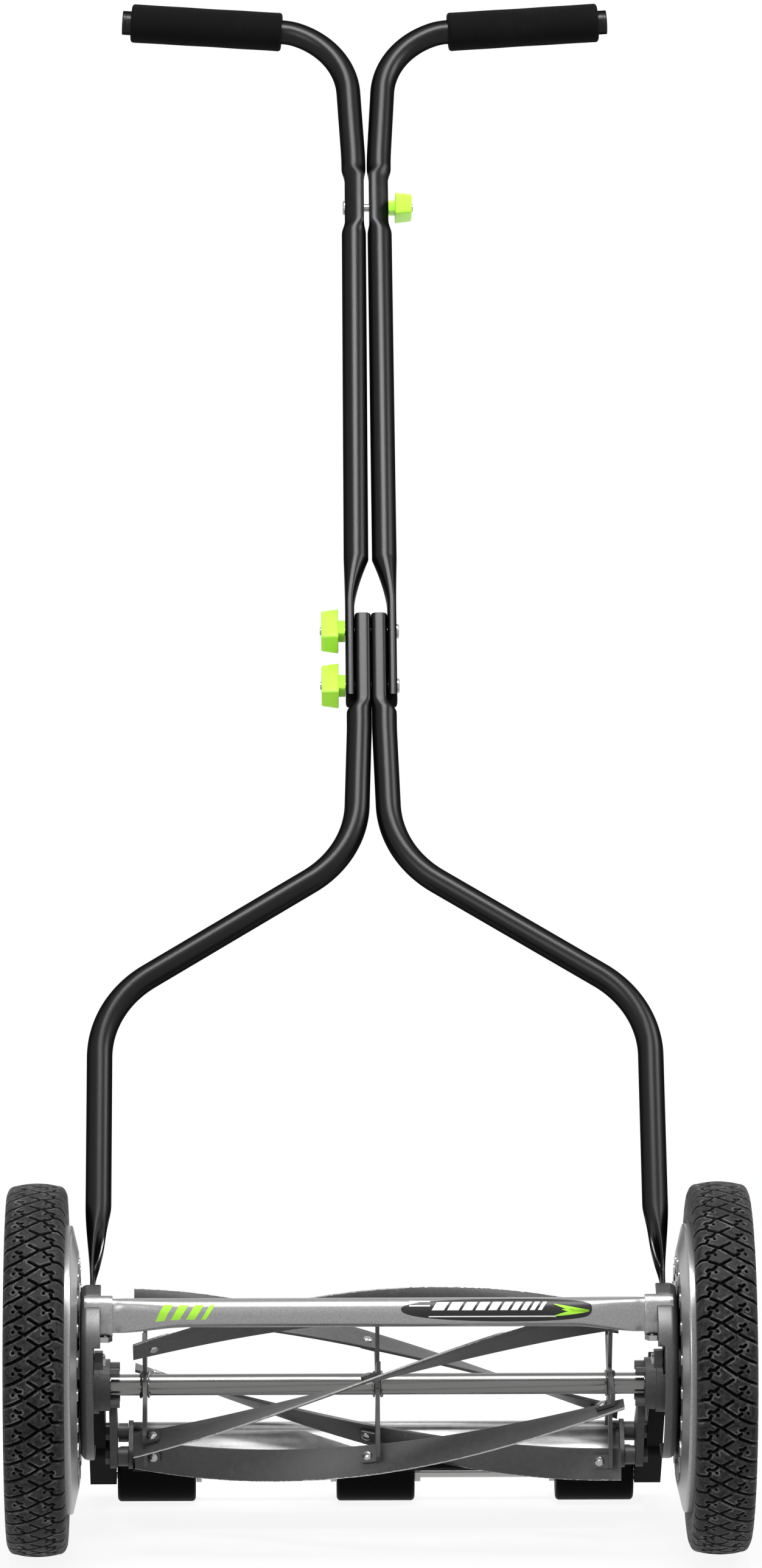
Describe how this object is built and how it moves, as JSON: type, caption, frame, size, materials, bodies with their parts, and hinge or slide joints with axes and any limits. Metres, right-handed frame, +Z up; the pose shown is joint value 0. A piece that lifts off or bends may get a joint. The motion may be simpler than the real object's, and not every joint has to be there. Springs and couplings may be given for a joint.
{
  "type": "push reel mower",
  "caption": "Hand-pushed reel mower: helical cutting reel between two geared wheels, cutter bar, rear rollers and a leaning T-handle with foam grips and hand knobs",
  "frame": {"origin": "on the floor straight below the wheel axle, midway between the wheels", "axes": "+X to the right seen from the front, +Y to the rear (towards the person pushing), +Z up"},
  "size_m": [0.539, 0.8934, 1.0659],
  "materials": {
    "black_paint": "satin powder coat",
    "silver_paint": "metallic silver-grey paint",
    "zinc_steel": "zinc plated, speckled",
    "bright_steel": "ground bright",
    "dark_steel": "dark, ground bright at the edges",
    "cast_grey": "dark grey, matt",
    "bronze": "plain bearing bronze",
    "lime_plastic": "moulded, half gloss",
    "foam": "fine closed-cell foam, matt",
    "tyre_rubber": "matt with a diamond tread",
    "black_plastic": "matt moulded"
  },
  "bodies": {
    "deck": {"side_plate_left": "silver_paint", "side_plate_right": "silver_paint", "cross_tube": "silver_paint", "tube_sockets": "silver_paint", "socket_bolts": "dark_steel", "bearing_housing_left": "cast_grey", "bearing_housing_right": "cast_grey", "housing_bolts": "dark_steel", "reel_bushes": "bronze", "wheel_axles": "zinc_steel", "axle_washers": "zinc_steel", "axle_clips": "zinc_steel", "pivot_bolts": "zinc_steel", "roller_studs": "zinc_steel", "hex_nuts": "zinc_steel", "cutter_pivot_screws": "zinc_steel"},
    "left_wheel": {"tyre_left": "tyre_rubber", "rim_left": "silver_paint", "ring_gear_left": "cast_grey", "wheel_cover_left": "silver_paint"},
    "right_wheel": {"tyre_right": "tyre_rubber", "rim_right": "silver_paint", "ring_gear_right": "cast_grey", "wheel_cover_right": "silver_paint"},
    "reel": {"reel_shaft": "bright_steel", "blade_1": "dark_steel", "blade_2": "dark_steel", "blade_3": "dark_steel", "blade_4": "dark_steel", "blade_5": "dark_steel", "spider_left": "dark_steel", "spider_middle": "dark_steel", "spider_right": "dark_steel", "blade_rivets": "bright_steel", "pinion_left": "cast_grey", "pinion_clips": "zinc_steel", "ratchet_pawls": "bright_steel"},
    "right_pinion": {"pinion_right": "cast_grey"},
    "cutter": {"cutter_bar": "zinc_steel", "bed_knife": "dark_steel", "knife_rivets": "zinc_steel", "cutter_setting_screws": "zinc_steel"},
    "roller_frame": {"roller_bracket_left": "black_paint", "roller_bracket_right": "black_paint", "roller_rod": "bright_steel", "roller_collars": "black_plastic"},
    "left_roller": {"roller_left": "black_plastic"},
    "middle_roller": {"roller_middle": "black_plastic"},
    "right_roller": {"roller_right": "black_plastic"},
    "handle": {"lower_tube_left": "black_paint", "lower_tube_right": "black_paint", "upper_tube_left": "black_paint", "upper_tube_right": "black_paint", "grip_left": "foam", "grip_right": "foam", "end_caps": "black_plastic", "handle_bolts": "zinc_steel"},
    "lower_joint_knob": {"joint_knob_lower": "lime_plastic"},
    "upper_joint_knob": {"joint_knob_upper": "lime_plastic"},
    "upper_bolt_knob": {"top_knob": "lime_plastic"}
  },
  "joints": [
    {"name": "left_wheel_spin", "type": "hinge", "parent": "deck", "child": "left_wheel", "pos_m": [0, 0, 0.1355], "axis": [1, 0, 0], "continuous": true},
    {"name": "right_wheel_spin", "type": "hinge", "parent": "deck", "child": "right_wheel", "pos_m": [0, 0, 0.1355], "axis": [1, 0, 0], "continuous": true},
    {"name": "reel_spin", "type": "hinge", "parent": "deck", "child": "reel", "pos_m": [0, 0.03464, 0.1155], "axis": [1, 0, 0], "continuous": true},
    {"name": "right_pinion_spin", "type": "hinge", "parent": "deck", "child": "right_pinion", "pos_m": [0, 0.03464, 0.1155], "axis": [1, 0, 0], "continuous": true},
    {"name": "cutter_set", "type": "hinge", "parent": "deck", "child": "cutter", "pos_m": [0, 0.09313, 0.06466], "axis": [1, 0, 0], "range_deg": [0, 2]},
    {"name": "roller_height", "type": "slide", "parent": "deck", "child": "roller_frame", "axis": [0, 0, 1], "range_m": [-0.01, 0.01]},
    {"name": "left_roller_spin", "type": "hinge", "parent": "roller_frame", "child": "left_roller", "pos_m": [0, 0.142, 0.0205], "axis": [1, 0, 0], "continuous": true},
    {"name": "middle_roller_spin", "type": "hinge", "parent": "roller_frame", "child": "middle_roller", "pos_m": [0, 0.142, 0.0205], "axis": [1, 0, 0], "continuous": true},
    {"name": "right_roller_spin", "type": "hinge", "parent": "roller_frame", "child": "right_roller", "pos_m": [0, 0.142, 0.0205], "axis": [1, 0, 0], "continuous": true},
    {"name": "handle_swing", "type": "hinge", "parent": "deck", "child": "handle", "pos_m": [0, -0.016, 0.1465], "axis": [1, 0, 0], "range_deg": [-32, 14]},
    {"name": "lower_joint_knob_turn", "type": "hinge", "parent": "handle", "child": "lower_joint_knob", "pos_m": [0, 0.3491, 0.58161], "axis": [1, 0, 0], "continuous": true},
    {"name": "upper_joint_knob_turn", "type": "hinge", "parent": "handle", "child": "upper_joint_knob", "pos_m": [0, 0.38015, 0.61861], "axis": [1, 0, 0], "continuous": true},
    {"name": "top_knob_turn", "type": "hinge", "parent": "handle", "child": "upper_bolt_knob", "pos_m": [0, 0.62923, 0.91546], "axis": [1, 0, 0], "continuous": true}
  ],
  "couplings": [
    {"joint": "reel_spin", "follows": "left_wheel_spin", "ratio": 3.8571},
    {"joint": "right_pinion_spin", "follows": "right_wheel_spin", "ratio": 3.8571}
  ]
}
